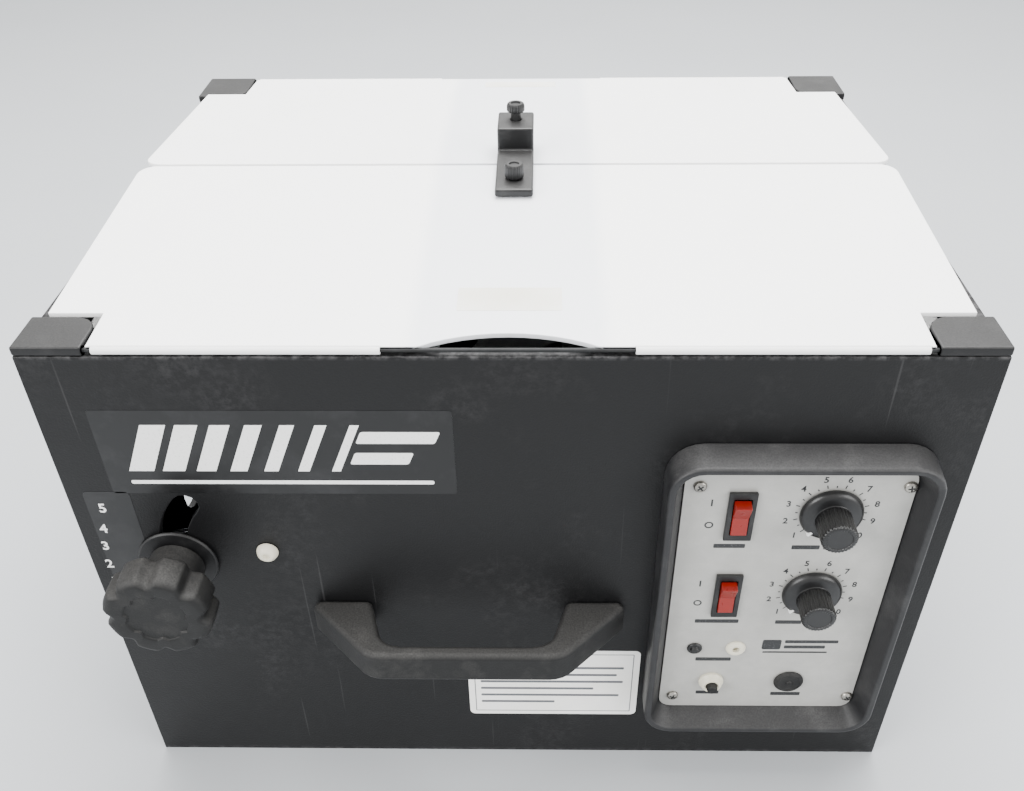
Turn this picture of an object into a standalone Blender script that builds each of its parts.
"""Portable tennis ball machine, modelled in millimetres and scaled to metres.

The frame has +Z up and its origin on the floor at the middle of the case. X runs along the long
side of the case, and balls leave through the -X wall. The controls, the handle and the elevation
knob are on the front wall, at -Y.
"""

import math

import bmesh
import bpy
from mathutils import Matrix, Vector

MM = 0.001
GAP = 0.3  # between pieces that touch

# Case
CASE_X, CASE_Y, CASE_H = 470.0, 370.0, 314.0
WALL = 5.0
BASE_T = 6.0

# Corner gussets on top of the walls
GUSSET_X, GUSSET_FRONT_Y, GUSSET_REAR_Y = 34.0, 28.0, 38.0
GUSSET_T = 5.0
GUSSET_LEG_X, GUSSET_LEG_Y, GUSSET_LEG_DEPTH = 17.0, 11.0, 15.0

# Lid: two flaps that meet over the middle, and two wings stowed below them
SHEET_T = 2.8
FLAP_MARGIN = 8.0  # from the case's side to the flap's side edge
LID_RISE = 11.0
LID_SPLIT = 2.0
HINGE_R, ROD_R, ROD_PLAY = 2.2, 1.1, 0.25
NOTCH_HALF, NOTCH_DEPTH = 43.0, 10.5
WING_DROP = 26.0
WING_HINGE_R, WING_ROD_R = 3.0, 1.5
WING_REACH, WING_ANGLE = CASE_X / 2 - 49.0, -8.0
WING_HALF, WING_TIP_HALF = CASE_Y / 2 - 17.0, CASE_Y / 2 - 81.0
WING_NECK, WING_STRAIGHT = 20.0, 45.0  # from the wing's hinge
WING_PLAY = 2.0  # from the gussets, as the wing swings up between them

# Latch: a stepped bracket on the near flap, with a rivet and a push plunger
LATCH_W, LATCH_T = 22.0, 5.0
LATCH_FRONT_Y, LATCH_STEP_Y, LATCH_REAR_Y = -43.0, 8.0, 36.0
LATCH_RISE = 13.4
LATCH_PEG_Y, LATCH_PIN_R, LATCH_PEG_R, LATCH_TRAVEL = 24.0, 3.0, 5.5, 4.5
RIVET_Y = -28.5

# Hopper
HOPPER_T = 3.0
HOPPER_FLOOR_Z = CASE_H - 92.0
HOPPER_RIM_DROP = 4.0
HOPPER_FLOOR_X = (-CASE_X / 2 + 85.0, CASE_X / 2 - 155.0)
HOPPER_SIDE_DROP = 33.0  # from the case's top to the hopper's side edges

# Ball feed
BALL_R = 33.5
DROP_X = -CASE_X / 2 + 130.0
DROP_R = 37.0
CAROUSEL_R, POCKET_R, POCKET_PITCH_R, CAROUSEL_H = 100.0, 36.5, 70.0, 30.0
POCKETS = 5
FEED_SHAFT_R = 3.0

# Elevation: the tilt frame turns about the pivot bolts, and the knob's stud rides in the slot
PIVOT_X, PIVOT_Z = -CASE_X / 2 + 100.2, CASE_H - 128.3
PIVOT_BOLT_R = 3.0
SLOT_R, SLOT_HALF = 51.0, 7.0
STUD_REST, TILT_RANGE = -8.0, 46.0
STUD_R = 4.0
KNOB_R, KNOB_FLUTES, KNOB_FLUTE = 28.6, 8, 3.6
KNOB_HUB_R, KNOB_HUB_L, KNOB_HEAD_L = 15.0, 20.5, 20.5
WASHER_R, WASHER_T = 22.0, 2.5
ARM_Y, ARM_T = CASE_Y / 2 - 10.0, 3.0
LEDGE_W = 35.0  # of the frame's side ledges, inwards from its arms

# Throwing head
LINE_DROP = 50.0  # ball line below the pivot
WHEEL_R, WHEEL_CORE_R, WHEEL_T = 50.0, 38.0, 28.0
WHEEL_X, WHEEL_Y = 20.0, 78.0  # from the pivot
THROW_MOTOR_R, THROW_MOTOR_L, THROW_SHAFT_R = 21.0, 47.0, 3.0
DECK_T, DECK_GAP = 3.0, 1.0
SWEEP_X, SWEEP_RANGE = 112.0, 7.0
CRANK_Y, CRANK_PIN_R = 60.0, 2.0
TRAY_BACK = 23.5  # from the sweep pin
SWEEP_MOTOR_R, SWEEP_MOTOR_L = 16.0, 38.0

# Control panel
PANEL_X, PANEL_Z = CASE_X / 2 - 86.8, CASE_H / 2 - 4.5
BEZEL_W, BEZEL_H, BEZEL_OUT, BEZEL_RIM = 138.5, 215.0, 17.6, 4.2
PLATE_W, PLATE_H, PLATE_T, PLATE_OUT = 118.4, 193.0, 2.0, 4.9
SWITCH_X, POWER_Z, SWEEP_SWITCH_Z = PANEL_X - 28.4, PANEL_Z + 65.6, PANEL_Z + 5.1
SWITCH_W, SWITCH_H, SWITCH_FLANGE, SWITCH_DEPTH = 14.8, 33.4, 2.2, 14.0
ROCKER_W, ROCKER_HALF, ROCKER_TILT = 8.6, 11.3, 10.0
DIAL_X, SPEED_Z, FEED_Z = PANEL_X + 18.6, PANEL_Z + 67.4, PANEL_Z + 7.2
DIAL_R, DIAL_L, GRIP_R = 16.6, 21.0, 9.5
LED_X, LED_Z, JACK_X = PANEL_X - 41.9, PANEL_Z - 41.0, PANEL_X - 17.7
RESET_X, RESET_Z, REMOTE_X = PANEL_X - 29.1, PANEL_Z - 71.4, PANEL_X + 17.8

# Handle
HANDLE_X, HANDLE_TOP_Z, HANDLE_H = -25.5, CASE_H - 167.0, 21.0
HANDLE_HALF, HANDLE_FOOT, HANDLE_REACH, HANDLE_BAR = 88.0, 32.0, 42.0, 9.0

# Battery
BATTERY_X, BATTERY_Y, BATTERY_Z = 151.0, 65.0, 94.0
BATTERY_RIGHT, BATTERY_REAR = 15.0, 10.0  # from the case's inner faces
STRAP_W, STRAP_T = 22.0, 2.0

FRONT_Y = -CASE_Y / 2
INNER_X, INNER_Y = CASE_X / 2 - WALL, CASE_Y / 2 - WALL
PLATE_Y = FRONT_Y - PLATE_OUT
FLAP_HINGE_Y, FLAP_HINGE_Z = CASE_Y / 2 - HINGE_R, CASE_H + GAP + HINGE_R
FLAP_HALF, FLAP_REACH = CASE_X / 2 - FLAP_MARGIN, FLAP_HINGE_Y - LID_SPLIT / 2
LID_ANGLE = math.degrees(math.asin(LID_RISE / FLAP_REACH))
BARREL_ENDS = (60.0, CASE_X / 2 - GUSSET_X - 4)
LINE_Z = PIVOT_Z - LINE_DROP
DECK_Z = LINE_Z + WHEEL_T / 2 + 2.0
CARRIAGE_Z = DECK_Z + DECK_T + DECK_GAP
SWEEP_PIN_X = PIVOT_X + SWEEP_X
CRANK_THROW = CRANK_Y * math.sin(math.radians(SWEEP_RANGE))
CRANK_R = CRANK_THROW + CRANK_PIN_R + 1.7
FEED_X = DROP_X + POCKET_PITCH_R
STUD_X = PIVOT_X - SLOT_R * math.cos(math.radians(STUD_REST))
STUD_Z = PIVOT_Z + SLOT_R * math.sin(math.radians(STUD_REST))


def clear_scene():
    for obj in list(bpy.data.objects):
        bpy.data.objects.remove(obj, do_unlink=True)


# Shapes: each function returns a bmesh in millimetres, in the frame of the whole machine.


def box(x0, x1, y0, y1, z0, z1):
    bm = bmesh.new()
    bmesh.ops.create_cube(bm, size=1.0)
    bmesh.ops.scale(bm, vec=(x1 - x0, y1 - y0, z1 - z0), verts=bm.verts)
    bmesh.ops.translate(bm, vec=((x0 + x1) / 2, (y0 + y1) / 2, (z0 + z1) / 2), verts=bm.verts)
    return bm


def along(axis, u, v, w):
    """A point from two coordinates in the plane across an axis and one along it."""
    return {"X": (w, u, v), "Y": (u, w, v), "Z": (u, v, w)}[axis]


def slab(outline, axis, low, high):
    """An outline across an axis, extruded from low to high along it."""
    bm = bmesh.new()
    face = bm.faces.new([bm.verts.new(along(axis, u, v, low)) for u, v in outline])
    extruded = bmesh.ops.extrude_face_region(bm, geom=[face])
    moved = [item for item in extruded["geom"] if isinstance(item, bmesh.types.BMVert)]
    bmesh.ops.translate(bm, vec=along(axis, 0, 0, high - low), verts=moved)
    return bm


def turned(profile, axis, centre, sides=24):
    """A closed profile of (radius, position) points, turned about an axis through centre."""
    bm = bmesh.new()
    rings = []
    for radius, position in profile:
        count = sides if radius > 0 else 1
        ring = []
        for i in range(count):
            angle = 2 * math.pi * i / sides
            point = along(axis, centre[0] + radius * math.cos(angle),
                          centre[1] + radius * math.sin(angle), position)
            ring.append(bm.verts.new(point))
        rings.append(ring)
    closes = rings[0] if profile[0][0] > 0 and profile[-1][0] > 0 else None
    for first, second in zip(rings, rings[1:] + ([closes] if closes else [])):
        if len(first) == len(second) == 1:
            continue
        for i in range(sides):
            corners = [first[i % len(first)], first[(i + 1) % len(first)],
                       second[(i + 1) % len(second)], second[i % len(second)]]
            bm.faces.new(list(dict.fromkeys(corners)))
    return bm


def rod(axis, centre, low, high, radius, sides=16):
    return turned([(0, low), (radius, low), (radius, high), (0, high)], axis, centre, sides)


def looped(rings):
    """Rings of equal count joined one to the next, and the last to the first."""
    bm = bmesh.new()
    loops = [[bm.verts.new(point) for point in ring] for ring in rings]
    count = len(loops[0])
    for first, second in zip(loops, loops[1:] + loops[:1]):
        for i in range(count):
            j = (i + 1) % count
            bm.faces.new((first[i], first[j], second[j], second[i]))
    return bm


def arc(centre, radius, start, end, steps):
    """Points along an arc, angles in degrees."""
    angles = [math.radians(start + (end - start) * i / steps) for i in range(steps + 1)]
    return [(centre[0] + radius * math.cos(a), centre[1] + radius * math.sin(a)) for a in angles]


def rounded_rectangle(u, v, width, height, radius, steps=4):
    outline = []
    for side_u, side_v, start in ((1, 1, 0), (-1, 1, 90), (-1, -1, 180), (1, -1, 270)):
        corner = (u + side_u * (width / 2 - radius), v + side_v * (height / 2 - radius))
        outline += arc(corner, radius, start, start + 90, steps)
    return outline


def arc_slot(centre, radius, half_width, start, end):
    """The outline of a slot that follows an arc, with round ends."""
    def end_cap(angle, first):
        point = arc(centre, radius, angle, angle, 1)[0]
        return arc(point, half_width, first, first + 180, 6)[1:-1]
    outer = arc(centre, radius + half_width, start, end, 12)
    inner = arc(centre, radius - half_width, end, start, 12)
    return outer + end_cap(end, end) + inner + end_cap(start, start + 180)


def turned_about(bm, axis, pivot, degrees):
    matrix = Matrix.Rotation(math.radians(degrees), 4, axis)
    bmesh.ops.rotate(bm, cent=pivot, matrix=matrix, verts=bm.verts)
    return bm


def mirrored(bm, axis):
    scale = {"X": (-1, 1, 1), "Y": (1, -1, 1)}[axis]
    bmesh.ops.scale(bm, vec=scale, verts=bm.verts)
    return bm


# Objects


def make_mesh(name, bm, origin):
    bmesh.ops.translate(bm, vec=-Vector(origin), verts=bm.verts)
    bmesh.ops.scale(bm, vec=(MM, MM, MM), verts=bm.verts)
    bmesh.ops.recalc_face_normals(bm, faces=bm.faces)
    mesh = bpy.data.meshes.new(name)
    bm.to_mesh(mesh)
    bm.free()
    mesh.shade_smooth()
    mesh.set_sharp_from_angle(angle=math.radians(35))
    obj = bpy.data.objects.new(name, mesh)
    obj.location = Vector(origin) * MM
    bpy.context.scene.collection.objects.link(obj)
    return obj


def node(name, bm, look, origin=(0, 0, 0)):
    """One piece of the machine, with its own material. look is (sRGB colour, roughness, metallic)."""
    obj = make_mesh(name, bm, origin)
    colour, roughness, metallic = look
    material = bpy.data.materials.new(name)
    material.use_nodes = True
    shader = material.node_tree.nodes["Principled BSDF"]
    linear = [(int(colour[i:i + 2], 16) / 255) ** 2.2 for i in (1, 3, 5)]
    shader.inputs["Base Color"].default_value = (*linear, 1)
    shader.inputs["Roughness"].default_value = roughness
    shader.inputs["Metallic"].default_value = metallic
    material.diffuse_color = (*linear, 1)
    obj.data.materials.append(material)
    return obj


def combine(obj, operation, *shapes):
    """Adds a Boolean for each shape, whose helper object stays hidden in renders."""
    for shape in shapes:
        number = len(obj.modifiers) + 1
        helper = make_mesh(f"{obj.name}_{operation.lower()}_{number}", shape, (0, 0, 0))
        helper.hide_render = True
        helper.display_type = "WIRE"
        modifier = obj.modifiers.new(f"{operation.lower()}_{number}", "BOOLEAN")
        modifier.operation = operation
        modifier.solver = "EXACT"
        modifier.object = helper


def cut(obj, *shapes):
    combine(obj, "DIFFERENCE", *shapes)


def join(obj, *shapes):
    combine(obj, "UNION", *shapes)


CASE_BLACK = ("#2b2d30", 0.6, 0.0)
MOULDED_BLACK = ("#26272a", 0.5, 0.0)
LID_WHITE = ("#f2f3f3", 0.4, 0.0)
STEEL = ("#b5b8bb", 0.35, 1.0)
DARK_STEEL = ("#55585c", 0.4, 1.0)
PANEL_GREY = ("#c3c6c8", 0.4, 0.6)
SWITCH_RED = ("#e0553a", 0.35, 0.0)
NYLON = ("#ddd9c8", 0.5, 0.0)
RUBBER_BLACK = ("#1d1e20", 0.8, 0.0)


# Case


def case_panels():
    front = node("case_front_panel", box(-CASE_X / 2, CASE_X / 2, FRONT_Y, FRONT_Y + WALL, 0, CASE_H),
                 CASE_BLACK)
    through = (FRONT_Y - 1, FRONT_Y + WALL + 1)
    opening = rounded_rectangle(PANEL_X, PANEL_Z, PLATE_W - 14, PLATE_H - 16, 8)
    slot = arc_slot((PIVOT_X, PIVOT_Z), SLOT_R, SLOT_HALF, 180 - STUD_REST - TILT_RANGE - 3,
                    180 - STUD_REST + 3)
    cut(front, slab(opening, "Y", *through), slab(slot, "Y", *through),
        rod("Y", (PIVOT_X, PIVOT_Z), *through, PIVOT_BOLT_R + 0.5))
    rear = node("case_rear_panel",
                box(-CASE_X / 2, CASE_X / 2, CASE_Y / 2 - WALL, CASE_Y / 2, 0, CASE_H), CASE_BLACK)
    cut(rear, rod("Y", (PIVOT_X, PIVOT_Z), CASE_Y / 2 - WALL - 1, CASE_Y / 2 + 1, PIVOT_BOLT_R + 0.5))
    half = INNER_Y - GAP
    left = node("case_left_panel", box(-CASE_X / 2, -INNER_X, -half, half, 0, CASE_H), CASE_BLACK)
    low, high = LINE_Z - BALL_R - 5, CASE_H - HOPPER_SIDE_DROP - 9
    window = rounded_rectangle(0, (low + high) / 2, 2 * (BALL_R + 31.5), high - low, 18)
    cut(left, slab(window, "X", -CASE_X / 2 - 1, -INNER_X + 1))
    node("case_right_panel", box(INNER_X, CASE_X / 2, -half, half, 0, CASE_H), CASE_BLACK)
    node("base_panel", box(-INNER_X + GAP, INNER_X - GAP, -half, half, 0, BASE_T), CASE_BLACK)


def corner_gusset(name, side_x, side_y, depth_y):
    """A plate with one round corner on top of two walls, and a leg inside them."""
    inner_x, inner_y = CASE_X / 2 - GUSSET_X, CASE_Y / 2 - depth_y
    radius = 12.0
    outline = [(CASE_X / 2, CASE_Y / 2), (inner_x, CASE_Y / 2)]
    outline += arc((inner_x + radius, inner_y + radius), radius, 180, 270, 5)
    outline += [(CASE_X / 2, inner_y)]
    top = CASE_H + GAP + GUSSET_T

    def placed(bm):
        if side_x < 0:
            mirrored(bm, "X")
        return mirrored(bm, "Y") if side_y < 0 else bm

    gusset = node(name, placed(slab(outline, "Z", CASE_H + GAP, top)), MOULDED_BLACK)
    leg = box(INNER_X - GAP - GUSSET_LEG_X, INNER_X - GAP, INNER_Y - GAP - GUSSET_LEG_Y,
              INNER_Y - GAP, CASE_H - GUSSET_LEG_DEPTH, top - 1)
    join(gusset, placed(leg))
    hole = rod("X", (CASE_Y / 2 - HINGE_R, FLAP_HINGE_Z), inner_x - 1, inner_x + 14,
               ROD_R + ROD_PLAY, 8)
    cut(gusset, placed(hole))


# Lid

def flap(name, side, gusset_depth, round_r=10.0):
    """A flap hinged along the front (side -1) or rear (side 1) wall, drawn level and then raised."""
    notch_x = CASE_X / 2 - GUSSET_X - 1.5
    notch_y = gusset_depth - HINGE_R + 1.5
    half = [(notch_x, 0), (notch_x, notch_y), (FLAP_HALF, notch_y)]
    half += arc((FLAP_HALF - round_r, FLAP_REACH - round_r), round_r, 0, 90, 5)
    outline = half + [(-x, y) for x, y in reversed(half)]
    top = FLAP_HINGE_Z + HINGE_R
    hinge = (0, side * FLAP_HINGE_Y, FLAP_HINGE_Z)

    def placed(bm):
        bmesh.ops.translate(bm, vec=(0, -FLAP_HINGE_Y, 0), verts=bm.verts)
        if side > 0:
            mirrored(bm, "Y")
        return turned_about(bm, "X", hinge, -side * LID_ANGLE)

    obj = node(name, placed(slab(outline, "Z", top - SHEET_T, top)), LID_WHITE, hinge)
    for start, end in (BARREL_ENDS, (-BARREL_ENDS[1], -BARREL_ENDS[0])):
        join(obj, placed(rod("X", (0, FLAP_HINGE_Z), start, end, HINGE_R - 0.05, 12)))
    cut(obj, rod("X", hinge[1:], -CASE_X / 2, CASE_X / 2, ROD_R + ROD_PLAY, 8))
    return obj, placed


def flaps():
    near, placed = flap("near_flap", -1, GUSSET_FRONT_Y)
    radius = (NOTCH_HALF ** 2 + NOTCH_DEPTH ** 2) / (2 * NOTCH_DEPTH)
    reach = math.degrees(math.asin(NOTCH_HALF / radius))
    finger = arc((0, NOTCH_DEPTH - radius), radius, 90 - reach, 90 + reach, 12)
    finger += [(-NOTCH_HALF, -4), (NOTCH_HALF, -4)]
    cut(near, placed(slab(finger, "Z", CASE_H - 5, CASE_H + 12)))
    rear, _ = flap("rear_flap", 1, GUSSET_REAR_Y)
    cut(rear, rod("Z", (0, LATCH_PEG_Y), CASE_H, CASE_H + 30, LATCH_PIN_R + 0.8, 16))
    for name, side in (("front_hinge_rod", -1), ("rear_hinge_rod", 1)):
        end = CASE_X / 2 - GUSSET_X + 12
        node(name, rod("X", (side * FLAP_HINGE_Y, FLAP_HINGE_Z), -end, end, ROD_R, 10), DARK_STEEL)


def wings():
    """Side wings, wide at the hinge, then narrow enough to pass the gussets and the rising flaps."""
    hinge_x, hinge_z = INNER_X - 0.7 - WING_HINGE_R, CASE_H - WING_DROP
    front, rear = (CASE_Y / 2 - depth - WING_PLAY for depth in (GUSSET_FRONT_Y, GUSSET_REAR_Y))
    outline = [(0, -WING_HALF), (WING_NECK, -WING_HALF), (WING_NECK, -front), (WING_STRAIGHT, -front),
               (WING_REACH, -WING_TIP_HALF), (WING_REACH, WING_TIP_HALF), (WING_STRAIGHT, rear),
               (WING_NECK, rear), (WING_NECK, WING_HALF), (0, WING_HALF)]
    for name, rod_name, side in (("left_wing", "left_hinge_rod", -1), ("right_wing", "right_hinge_rod", 1)):
        hinge = (side * hinge_x, 0, hinge_z)
        sheet = slab(outline, "Z", hinge_z, hinge_z + SHEET_T)
        bmesh.ops.translate(sheet, vec=(-hinge_x, 0, 0), verts=sheet.verts)
        if side > 0:
            mirrored(sheet, "X")
        turned_about(sheet, "Y", hinge, side * WING_ANGLE)
        wing = node(name, sheet, LID_WHITE, hinge)
        join(wing, rod("Y", (hinge[0], hinge_z), -WING_HALF, WING_HALF, WING_HINGE_R, 16))
        cut(wing, rod("Y", (hinge[0], hinge_z), -WING_HALF - 1, WING_HALF + 1, WING_ROD_R + 0.3, 12))
        node(rod_name, rod("Y", (hinge[0], hinge_z), -INNER_Y + 2, INNER_Y - 2, WING_ROD_R, 10), DARK_STEEL)


def latch():
    """A stepped bracket on the near flap, whose plunger drops into a hole in the rear flap."""
    low = FLAP_HINGE_Z + HINGE_R + LID_RISE + GAP
    low_front = low + LID_RISE * LATCH_FRONT_Y / FLAP_REACH + 2 * GAP
    upper = low + LATCH_T + LATCH_RISE
    hinge = (0, -FLAP_HINGE_Y, FLAP_HINGE_Z)
    outline = [(LATCH_FRONT_Y, low_front), (-LID_SPLIT, low + GAP), (LATCH_STEP_Y + LATCH_T, low + GAP),
               (LATCH_STEP_Y + LATCH_T, upper - LATCH_T), (LATCH_REAR_Y, upper - LATCH_T),
               (LATCH_REAR_Y, upper), (LATCH_STEP_Y, upper), (LATCH_STEP_Y, low + LATCH_T),
               (-LID_SPLIT, low + LATCH_T), (LATCH_FRONT_Y, low_front + LATCH_T - GAP)]
    bracket = node("latch_bracket", slab(outline, "X", -LATCH_W / 2, LATCH_W / 2), MOULDED_BLACK, hinge)
    cut(bracket, rod("Z", (0, LATCH_PEG_Y), upper - LATCH_T - 5, upper + 5, LATCH_PIN_R + GAP),
        rod("Z", (0, RIVET_Y), low_front - 5, low_front + 15, LATCH_PIN_R + GAP))
    seat = low_front + LATCH_T + 1.2
    rivet = [(0, seat - 4.5), (LATCH_PIN_R, seat - 4.5), (LATCH_PIN_R, seat), (LATCH_PEG_R - 1, seat),
             (LATCH_PEG_R, seat + 3), (LATCH_PEG_R, seat + 6.5), (LATCH_PEG_R - 1.5, seat + 8), (0, seat + 8)]
    node("latch_rivet", turned(rivet, "Z", (0, RIVET_Y)), MOULDED_BLACK, hinge)
    top = upper + LATCH_TRAVEL + GAP
    tip = low + GAP + 1.2 - LATCH_PEG_Y * LID_RISE / FLAP_REACH
    plunger = [(0, tip), (LATCH_PIN_R, tip), (LATCH_PIN_R, top), (LATCH_PEG_R, top),
               (LATCH_PEG_R, top + 3.5), (LATCH_PEG_R - 1.5, top + 5), (0, top + 5)]
    node("latch_plunger", turned(plunger, "Z", (0, LATCH_PEG_Y)), MOULDED_BLACK, (0, LATCH_PEG_Y, tip))


# Hopper, carousel and its gearmotor


def hopper():
    """A tray whose floor slopes in from both sides. The rods of the wings pass through its ends."""
    side_z, rim_z = CASE_H - HOPPER_SIDE_DROP, CASE_H - HOPPER_RIM_DROP
    left, right = HOPPER_FLOOR_X
    edge = INNER_X - 0.7
    floor = [(-edge, side_z), (left, HOPPER_FLOOR_Z), (right, HOPPER_FLOOR_Z), (edge, side_z)]
    below = [(x, z - HOPPER_T) for x, z in floor]
    half = INNER_Y - WALL
    body = node("hopper_tray", slab(below + [(edge, rim_z), (-edge, rim_z)], "Y", -half, half), MOULDED_BLACK)
    inside = [(-edge - 5, side_z + 3.7)] + floor + [(edge + 5, side_z + 3.7), (edge + 5, rim_z + 9),
                                                   (-edge - 5, rim_z + 9)]
    cut(body, slab(inside, "Y", -half + HOPPER_T, half - HOPPER_T))
    reach = INNER_X - GAP - GUSSET_LEG_X - 0.7
    for low, high in ((-INNER_Y + 0.6, -half + 0.5), (half - 0.5, INNER_Y - 0.6)):
        join(body, box(-reach + 1, reach - 1, low, high, rim_z - HOPPER_T, rim_z - 0.1))
    for sign_x in (-1, 1):
        for sign_y in (-1, 1):
            x0, x1 = sorted((sign_x * reach, sign_x * CASE_X / 2))
            y0, y1 = sorted((sign_y * (INNER_Y - GAP - GUSSET_LEG_Y - 0.7), sign_y * CASE_Y / 2))
            cut(body, box(x0, x1, y0, y1, CASE_H - GUSSET_LEG_DEPTH - 0.5, CASE_H + 5))
            low, high = sorted((sign_y * (half - HOPPER_T - 2), sign_y * (half + 2)))
            hinge_x = sign_x * (INNER_X - 0.7 - WING_HINGE_R)
            cut(body, rod("Y", (hinge_x, CASE_H - WING_DROP), low, high, WING_ROD_R + 0.3, 10))
    cut(body, rod("Z", (DROP_X, 0), HOPPER_FLOOR_Z - 9, HOPPER_FLOOR_Z + 9, DROP_R, 36),
        rod("Z", (FEED_X, 0), HOPPER_FLOOR_Z - 9, HOPPER_FLOOR_Z + 9, 2 * FEED_SHAFT_R, 16))


def carousel():
    """A star of pockets. One pocket stands over the drop hole."""
    cosine = (POCKET_PITCH_R ** 2 + CAROUSEL_R ** 2 - POCKET_R ** 2) / (2 * POCKET_PITCH_R * CAROUSEL_R)
    half = math.degrees(math.acos(cosine))
    mouth = math.degrees(math.atan2(CAROUSEL_R * math.sin(math.radians(half)),
                                    CAROUSEL_R * cosine - POCKET_PITCH_R))
    outline = []
    for i in range(POCKETS):
        heading = 180 + i * 360 / POCKETS
        centre = arc((FEED_X, 0), POCKET_PITCH_R, heading, heading, 1)[0]
        outline += arc(centre, POCKET_R, heading - mouth, heading + mouth - 360, 14)
        outline += arc((FEED_X, 0), CAROUSEL_R, heading + half, heading + 360 / POCKETS - half, 5)[1:-1]
    low = HOPPER_FLOOR_Z + 2
    wheel = node("ball_carousel", slab(outline, "Z", low, low + CAROUSEL_H), MOULDED_BLACK, (FEED_X, 0, low))
    cut(wheel, rod("Z", (FEED_X, 0), low - 1, low + CAROUSEL_H - 8, FEED_SHAFT_R + 0.3))
    top = HOPPER_FLOOR_Z - HOPPER_T - GAP
    profile = [(0, top - 52), (15, top - 52), (15, top - 24), (18.5, top - 24), (18.5, top),
               (FEED_SHAFT_R, top), (FEED_SHAFT_R, low + CAROUSEL_H - 10), (0, low + CAROUSEL_H - 10)]
    node("feed_gearmotor", turned(profile, "Z", (FEED_X, 0)), DARK_STEEL)


# Elevation and the throwing head


def tilt_frame():
    """Two flanged arms joined by a cross bar, hung from the pivot bolts."""
    right = SWEEP_PIN_X + 16
    arm = [(PIVOT_X - SLOT_R, DECK_Z), (right, DECK_Z), (right, DECK_Z + 14), (PIVOT_X + 14, PIVOT_Z + 4)]
    arm += arc((PIVOT_X, PIVOT_Z), 14, 30, 120, 5) + arc((STUD_X, STUD_Z), 11, 100, 230, 6)
    frame = node("tilt_frame", slab(arm, "Y", -ARM_Y, -ARM_Y + ARM_T), STEEL, (PIVOT_X, 0, PIVOT_Z))
    join(frame, slab(arm, "Y", ARM_Y - ARM_T, ARM_Y))
    ledge = ARM_Y - LEDGE_W
    for low, high in ((-ARM_Y + 1, -ledge), (ledge, ARM_Y - 1)):
        join(frame, box(PIVOT_X - 45, right - 1, low, high, DECK_Z + 0.01, DECK_Z + DECK_T))
    join(frame, box(SWEEP_PIN_X - 17, right - 2, -ledge - 3, ledge + 3, DECK_Z + 0.02, DECK_Z + DECK_T - 0.02),
         rod("Z", (SWEEP_PIN_X, 0), DECK_Z + 1, CARRIAGE_Z + DECK_T + 1.5, 4.0))
    for side in (-1, 1):
        cut(frame, rod("Y", (PIVOT_X, PIVOT_Z), side * ARM_Y - 6, side * ARM_Y + 6, PIVOT_BOLT_R + 0.3))
    cut(frame, rod("Y", (STUD_X, STUD_Z), -ARM_Y - 3, -ARM_Y + 6, STUD_R + GAP),
        rod("Z", (SWEEP_PIN_X, CRANK_Y), DECK_Z - 2, DECK_Z + DECK_T + 2, CRANK_R + 1.5, 24))


def elevation_fasteners():
    for name, side in (("front_pivot_bolt", -1), ("rear_pivot_bolt", 1)):
        wall = CASE_Y / 2
        profile = [(0, wall + 5), (2.5, wall + 4.8), (5.4, wall + 3), (6.0, wall + GAP),
                   (PIVOT_BOLT_R, wall + GAP), (PIVOT_BOLT_R, ARM_Y - ARM_T - GAP),
                   (5.5, ARM_Y - ARM_T - GAP), (5.5, ARM_Y - ARM_T - 5), (0, ARM_Y - ARM_T - 5)]
        node(name, turned([(r, side * y) for r, y in profile], "Y", (PIVOT_X, PIVOT_Z), 16), NYLON)
    inner, face = ARM_Y - ARM_T - GAP, CASE_Y / 2
    knob_back = face + WASHER_T + 2 * GAP
    knob_front = knob_back + KNOB_HUB_L + KNOB_HEAD_L
    stud = [(0, inner - 3), (7, inner - 3), (7, inner), (STUD_R, inner), (STUD_R, knob_front - 9),
            (0, knob_front - 9)]
    node("elevation_stud", turned([(r, -y) for r, y in stud], "Y", (STUD_X, STUD_Z)), STEEL)
    washer = [(STUD_R + GAP, face + GAP), (WASHER_R, face + GAP), (WASHER_R, face + GAP + WASHER_T),
              (STUD_R + GAP, face + GAP + WASHER_T)]
    node("friction_washer", turned([(r, -y) for r, y in washer], "Y", (STUD_X, STUD_Z), 32), MOULDED_BLACK)
    outline = []
    for i in range(KNOB_FLUTES * 8):
        angle = 2 * math.pi * i / (KNOB_FLUTES * 8)
        flute = max(0.0, math.cos(KNOB_FLUTES * angle)) ** 1.5
        radius = KNOB_R - KNOB_FLUTE * flute
        outline.append((STUD_X + radius * math.cos(angle), STUD_Z + radius * math.sin(angle)))
    head = slab(outline, "Y", -knob_front, -(knob_back + KNOB_HUB_L))
    knob = node("elevation_knob", head, RUBBER_BLACK, (STUD_X, -knob_back, STUD_Z))
    join(knob, rod("Y", (STUD_X, STUD_Z), -(knob_back + KNOB_HUB_L + 3), -knob_back, KNOB_HUB_R, 20))
    cut(knob, rod("Y", (STUD_X, STUD_Z), -(knob_front - 8), -knob_back + 1, STUD_R + GAP))


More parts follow.
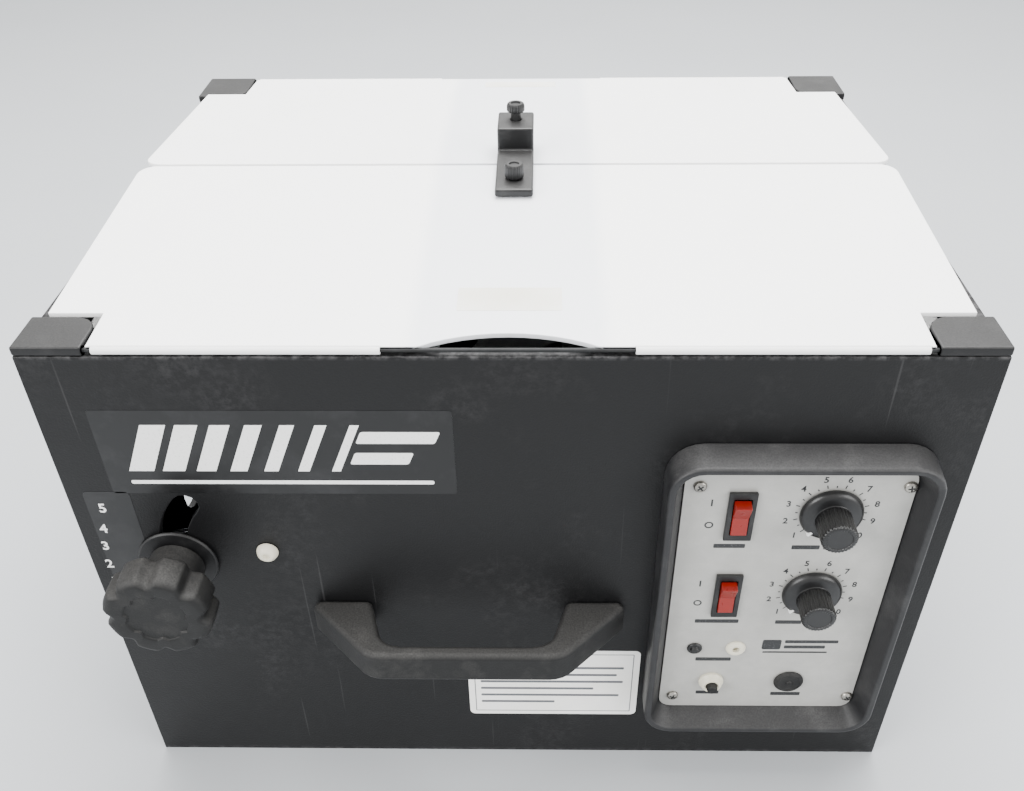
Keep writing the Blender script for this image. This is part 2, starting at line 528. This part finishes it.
def sweep_carriage():
    """A deck that swings on the frame's pin, open in the middle for the ball, with a feed tray below."""
    left, tail = PIVOT_X - 25, SWEEP_PIN_X + 11
    mouth, side = PIVOT_X + WHEEL_X + WHEEL_R + 3, ARM_Y - 25
    low, high = CARRIAGE_Z, CARRIAGE_Z + DECK_T
    passage = BALL_R + 8
    outline = [(left, -side), (tail, -side), (tail, side), (left, side), (left, passage),
               (mouth, passage), (mouth, -passage), (left, -passage)]
    deck = node("sweep_carriage", slab(outline, "Z", low, high), STEEL, (SWEEP_PIN_X, 0, low))
    tray_z, back = LINE_Z - BALL_R - 3, SWEEP_PIN_X - TRAY_BACK
    walls = [(mouth + 1, -passage + 4), (back - 3, -passage + 4), (back - 3, passage - 4),
             (mouth + 1, passage - 4), (mouth + 1, passage - 1), (back, passage - 1),
             (back, -passage + 1), (mouth + 1, -passage + 1)]
    join(deck, slab(walls, "Z", tray_z - 1, low + 1),
         box(PIVOT_X - 30, back - 1, -passage + 3, passage - 3, tray_z - 3, tray_z))
    cut(deck, rod("Z", (SWEEP_PIN_X, 0), low - 2, high + 2, 4.3))
    play = CRANK_PIN_R + 0.2 * CRANK_THROW + 0.3
    slot = rounded_rectangle(SWEEP_PIN_X, CRANK_Y + CRANK_THROW / 2 + 0.3, 2 * play,
                             CRANK_THROW + 2 * CRANK_PIN_R + 4, play - 0.1, 5)
    cut(deck, slab(slot, "Z", low - 2, high + 2))
    for side_y in (-1, 1):
        cut(deck, rod("Z", (PIVOT_X + WHEEL_X, side_y * WHEEL_Y), low - 2, high + 2, THROW_SHAFT_R + 2))


def sweep_drive():
    """A gearmotor under the frame turns a crank, whose pin works in the carriage's slot."""
    top = DECK_Z - GAP
    shaft = 2.5
    motor = [(0, top - SWEEP_MOTOR_L), (SWEEP_MOTOR_R, top - SWEEP_MOTOR_L), (SWEEP_MOTOR_R, top),
             (shaft + GAP, top), (shaft + GAP, top - 8), (0, top - 8)]
    node("sweep_gearmotor", turned(motor, "Z", (SWEEP_PIN_X, CRANK_Y)), DARK_STEEL)
    disc = [(0, DECK_Z - 7), (shaft, DECK_Z - 7), (shaft, DECK_Z), (CRANK_R, DECK_Z),
            (CRANK_R, DECK_Z + DECK_T - 0.2), (0, DECK_Z + DECK_T - 0.2)]
    crank = node("sweep_crank", turned(disc, "Z", (SWEEP_PIN_X, CRANK_Y)), STEEL,
                 (SWEEP_PIN_X, CRANK_Y, DECK_Z))
    join(crank, rod("Z", (SWEEP_PIN_X, CRANK_Y + CRANK_THROW), DECK_Z + 1.3, CARRIAGE_Z + DECK_T + 1,
                    CRANK_PIN_R, 11))


def throwing_wheels():
    """Two wheels that grip the ball between them, each hung from its own motor."""
    x = PIVOT_X + WHEEL_X
    seat = CARRIAGE_Z + DECK_T + GAP
    low, high = LINE_Z - WHEEL_T / 2, LINE_Z + WHEEL_T / 2
    for name, y in (("front", -WHEEL_Y), ("rear", WHEEL_Y)):
        bore = THROW_SHAFT_R + GAP
        motor = [(0, seat + 12), (bore, seat + 12), (bore, seat), (THROW_MOTOR_R, seat),
                 (THROW_MOTOR_R, seat + THROW_MOTOR_L - 3), (THROW_MOTOR_R - 2, seat + THROW_MOTOR_L),
                 (0, seat + THROW_MOTOR_L)]
        node(f"{name}_throw_motor", turned(motor, "Z", (x, y)), DARK_STEEL)
        core = [(0, low + 3), (9, low + 3), (9, low + 9), (30, low + 9), (30, low), (WHEEL_CORE_R, low),
                (WHEEL_CORE_R, high), (30, high), (30, high - 9), (9, high - 9), (9, high - 1),
                (THROW_SHAFT_R, high - 1), (THROW_SHAFT_R, seat + 10), (0, seat + 10)]
        node(f"{name}_throw_wheel", turned(core, "Z", (x, y), 36), STEEL, (x, y, LINE_Z))
        inner = WHEEL_CORE_R + GAP
        tyre = [(inner, low), (WHEEL_R - 2, low), (WHEEL_R, low + 3), (WHEEL_R - 1.5, LINE_Z),
                (WHEEL_R, high - 3), (WHEEL_R - 2, high), (inner, high)]
        node(f"{name}_wheel_tyre", turned(tyre, "Z", (x, y), 36), RUBBER_BLACK, (x, y, LINE_Z))


# Control panel


def control_bezel_and_plate():
    base_y, rim_y = FRONT_Y - GAP, FRONT_Y - BEZEL_OUT
    floor_y = PLATE_Y + PLATE_T + GAP
    rim_w, rim_h = BEZEL_W - 2 * BEZEL_RIM, BEZEL_H - 2 * BEZEL_RIM
    rings = [(BEZEL_W, BEZEL_H + 6, 19, base_y), (BEZEL_W, BEZEL_H, 18, rim_y + 2),
             (BEZEL_W - 2, BEZEL_H - 3, 16.5, rim_y), (rim_w, rim_h, 14, rim_y + 0.5),
             (PLATE_W + 1, PLATE_H + 1, 8, PLATE_Y + 0.5), (PLATE_W + 1, PLATE_H + 1, 8, floor_y),
             (PLATE_W - 12, PLATE_H - 14, 8, floor_y), (PLATE_W - 12, PLATE_H - 14, 8, base_y)]
    loops = []
    for width, height, radius, y in rings:
        outline = rounded_rectangle(PANEL_X, PANEL_Z, width, height, radius, 6)
        loops.append([(x, y, z) for x, z in outline])
    node("control_bezel", looped(loops), MOULDED_BLACK)
    outline = rounded_rectangle(PANEL_X, PANEL_Z, PLATE_W, PLATE_H, 7.5)
    plate = node("control_plate", slab(outline, "Y", PLATE_Y, PLATE_Y + PLATE_T), PANEL_GREY)
    through = (PLATE_Y - 1, PLATE_Y + PLATE_T + 1)
    for z in (POWER_Z, SWEEP_SWITCH_Z):
        cut(plate, box(SWITCH_X - SWITCH_W / 2 + 1, SWITCH_X + SWITCH_W / 2 - 1, *through,
                       z - SWITCH_H / 2 + 2, z + SWITCH_H / 2 - 2))
    for x, z, radius in ((DIAL_X, SPEED_Z, 3.8), (DIAL_X, FEED_Z, 3.8), (LED_X, LED_Z, 3.3),
                         (JACK_X, LED_Z, 4.3), (RESET_X, RESET_Z, 5.3), (REMOTE_X, RESET_Z, 7.3)):
        cut(plate, rod("Y", (x, z), *through, radius))


def rocker_switches():
    for name, z in (("power", POWER_Z), ("sweep", SWEEP_SWITCH_Z)):
        face = PLATE_Y - GAP
        front = face - SWITCH_FLANGE
        half_w, half_h = SWITCH_W / 2, SWITCH_H / 2
        body = node(f"{name}_switch_body",
                    box(SWITCH_X - half_w, SWITCH_X + half_w, front, face, z - half_h, z + half_h), MOULDED_BLACK)
        join(body, box(SWITCH_X - half_w + 1.4, SWITCH_X + half_w - 1.4, face - 0.5, face + SWITCH_DEPTH,
                       z - half_h + 2.4, z + half_h - 2.4))
        half_rocker = ROCKER_W / 2
        cut(body, box(SWITCH_X - half_rocker - GAP, SWITCH_X + half_rocker + GAP, front - 1, front + 9,
                      z - ROCKER_HALF - 1.3, z + ROCKER_HALF + 1.3))
        pivot_y = front + 1.5
        out, shallow, back, heel = pivot_y - 4.5, pivot_y - 2.0, pivot_y + 1.5, pivot_y + 4.5
        profile = [(out, ROCKER_HALF), (shallow, 0), (out, -ROCKER_HALF), (back, -ROCKER_HALF),
                   (heel, 0), (back, ROCKER_HALF)]
        rocker = slab([(y, z + dz) for y, dz in profile], "X", SWITCH_X - half_rocker, SWITCH_X + half_rocker)
        pivot = (SWITCH_X, pivot_y, z)
        node(f"{name}_rocker", turned_about(rocker, "X", pivot, ROCKER_TILT), SWITCH_RED, pivot)


def dials():
    for name, z in (("speed", SPEED_Z), ("feed", FEED_Z)):
        back = PLATE_Y + PLATE_T + GAP
        pot = [(0, -back - 9), (8, -back - 9), (8, -back), (3.4, -back), (3.4, -PLATE_Y + 3),
               (3.0, -PLATE_Y + 3), (3.0, -PLATE_Y + 13), (0, -PLATE_Y + 13)]
        node(f"{name}_potentiometer", turned([(r, -y) for r, y in pot], "Y", (DIAL_X, z)), STEEL)
        face = -PLATE_Y + 0.6
        end = -PLATE_Y + DIAL_L
        knob = [(0, end), (GRIP_R - 1.2, end), (GRIP_R, end - 1.2), (GRIP_R + 0.3, face + 5.2),
                (DIAL_R - 1.0, face + 4.2), (DIAL_R, face + 1), (DIAL_R - 0.4, face), (4.0, face),
                (4.0, -PLATE_Y + 13.3), (0, -PLATE_Y + 13.3)]
        dial = turned([(r, -y) for r, y in knob], "Y", (DIAL_X, z), 32)
        node(f"{name}_dial", dial, MOULDED_BLACK, (DIAL_X, PLATE_Y, z))


def small_controls():
    back = PLATE_Y + PLATE_T + 8
    lamp = [(0, PLATE_Y - 3.2), (1.8, PLATE_Y - 2.6), (2.6, PLATE_Y - 1.2), (4.4, PLATE_Y - 1.2),
            (4.4, PLATE_Y - GAP), (3.0, PLATE_Y - GAP), (3.0, back), (0, back)]
    node("charge_lamp", turned(lamp, "Y", (LED_X, LED_Z), 16), DARK_STEEL)
    jack = [(2.2, PLATE_Y - 2.6), (4.6, PLATE_Y - 2.6), (5.6, PLATE_Y - 1.8), (5.6, PLATE_Y - GAP),
            (4.0, PLATE_Y - GAP), (4.0, back + 4), (0, back + 4), (0, back - 2), (2.2, back - 2)]
    node("charge_jack", turned(jack, "Y", (JACK_X, LED_Z), 20), NYLON)
    breaker = [(3.6, PLATE_Y - 5), (5.4, PLATE_Y - 5), (6.4, PLATE_Y - 4), (7.4, PLATE_Y - 2.6),
               (7.4, PLATE_Y - GAP), (5.0, PLATE_Y - GAP), (5.0, back + 8), (0, back + 8), (0, back),
               (3.6, back)]
    node("reset_breaker", turned(breaker, "Y", (RESET_X, RESET_Z), 20), NYLON)
    button = [(0, PLATE_Y - 8.5), (2.6, PLATE_Y - 8.2), (3.2, PLATE_Y - 7.4), (3.2, back - 5), (0, back - 5)]
    node("reset_button", turned(button, "Y", (RESET_X, RESET_Z), 16), RUBBER_BLACK, (RESET_X, PLATE_Y, RESET_Z))
    plug = [(0, PLATE_Y - 3.0), (6.5, PLATE_Y - 2.6), (8.9, PLATE_Y - 1.2), (8.9, PLATE_Y - GAP),
            (7.0, PLATE_Y - GAP), (7.0, PLATE_Y + PLATE_T + 2), (0, PLATE_Y + PLATE_T + 2)]
    node("remote_socket_plug", turned(plug, "Y", (REMOTE_X, RESET_Z), 24), RUBBER_BLACK)


def control_board():
    """A circuit board on four posts behind the panel, with a heat sink and two relays."""
    back = -INNER_Y + 28
    x0, x1 = PANEL_X - 65, PANEL_X + 65
    z1 = HOPPER_FLOOR_Z - HOPPER_T - 6.5
    z0 = z1 - 120
    board = node("control_board", box(x0, x1, back, back + 1.6, z0, z1), ("#2f6b3f", 0.5, 0.0))
    for x in (x0 + 4, x1 - 4):
        for z in (z0 + 5, z1 - 5):
            join(board, rod("Y", (x, z), -INNER_Y + GAP, back + 1, 3.0, 10))
    join(board, box(x0 + 15, x0 + 55, back + 1, back + 20, z0 + 20, z0 + 50),
         box(x1 - 50, x1 - 32, back + 1, back + 16, z1 - 45, z1 - 25),
         box(x1 - 26, x1 - 8, back + 1, back + 16, z1 - 45, z1 - 25))


def handle():
    """A moulded bridge handle: two feet on the wall and a bar in front of it."""
    left_half = [(-HANDLE_HALF, 0.3), (-HANDLE_HALF - 0.5, 6)]
    left_half += arc((-HANDLE_HALF + 42, HANDLE_REACH - 18), 18, 140, 90, 4)
    inner = [(-HANDLE_HALF + HANDLE_FOOT + 20, HANDLE_REACH - HANDLE_BAR)]
    inner += arc((-HANDLE_HALF + HANDLE_FOOT + 20, HANDLE_REACH - HANDLE_BAR - 14), 14, 115, 150, 3)
    inner += [(-HANDLE_HALF + HANDLE_FOOT, 0.3)]
    outer_side = left_half + [(-x, y) for x, y in reversed(left_half)]
    inner_side = [(-x, y) for x, y in reversed(inner)] + inner
    outline = [(HANDLE_X + x, FRONT_Y - y) for x, y in outer_side + inner_side]
    node("carry_handle", slab(outline, "Z", HANDLE_TOP_Z - HANDLE_H, HANDLE_TOP_Z), RUBBER_BLACK)


def battery():
    x1, y1 = INNER_X - BATTERY_RIGHT, INNER_Y - BATTERY_REAR
    x0, y0, z0 = x1 - BATTERY_X, y1 - BATTERY_Y, BASE_T + GAP
    z1 = z0 + BATTERY_Z
    cell = node("battery", box(x0, x1, y0, y1, z0, z1), ("#3b3f45", 0.5, 0.0))
    for x in (x0 + 12, x1 - 12):
        join(cell, box(x - 3, x + 3, y0 + 10, y0 + 10.8, z1 - 1, z1 + 6))
    middle = (x0 + x1) / 2
    low, high = z0 + STRAP_T, z1 + GAP
    outline = [(y0 - 16, z0), (y0 - GAP, z0), (y0 - GAP, high), (y1 + GAP, high), (y1 + GAP, z0),
               (y1 + GAP + STRAP_T, z0), (y1 + GAP + STRAP_T, high + STRAP_T),
               (y0 - GAP - STRAP_T, high + STRAP_T), (y0 - GAP - STRAP_T, low), (y0 - 16, low)]
    node("battery_strap", slab(outline, "X", middle - STRAP_W / 2, middle + STRAP_W / 2), STEEL)


clear_scene()
case_panels()
for gusset_name, gusset_x, gusset_y, gusset_depth in (
    ("front_left_gusset", -1, -1, GUSSET_FRONT_Y),
    ("front_right_gusset", 1, -1, GUSSET_FRONT_Y),
    ("rear_left_gusset", -1, 1, GUSSET_REAR_Y),
    ("rear_right_gusset", 1, 1, GUSSET_REAR_Y),
):
    corner_gusset(gusset_name, gusset_x, gusset_y, gusset_depth)
flaps()
wings()
latch()
hopper()
carousel()
tilt_frame()
elevation_fasteners()
sweep_carriage()
sweep_drive()
throwing_wheels()
control_bezel_and_plate()
rocker_switches()
dials()
small_controls()
control_board()
handle()
battery()
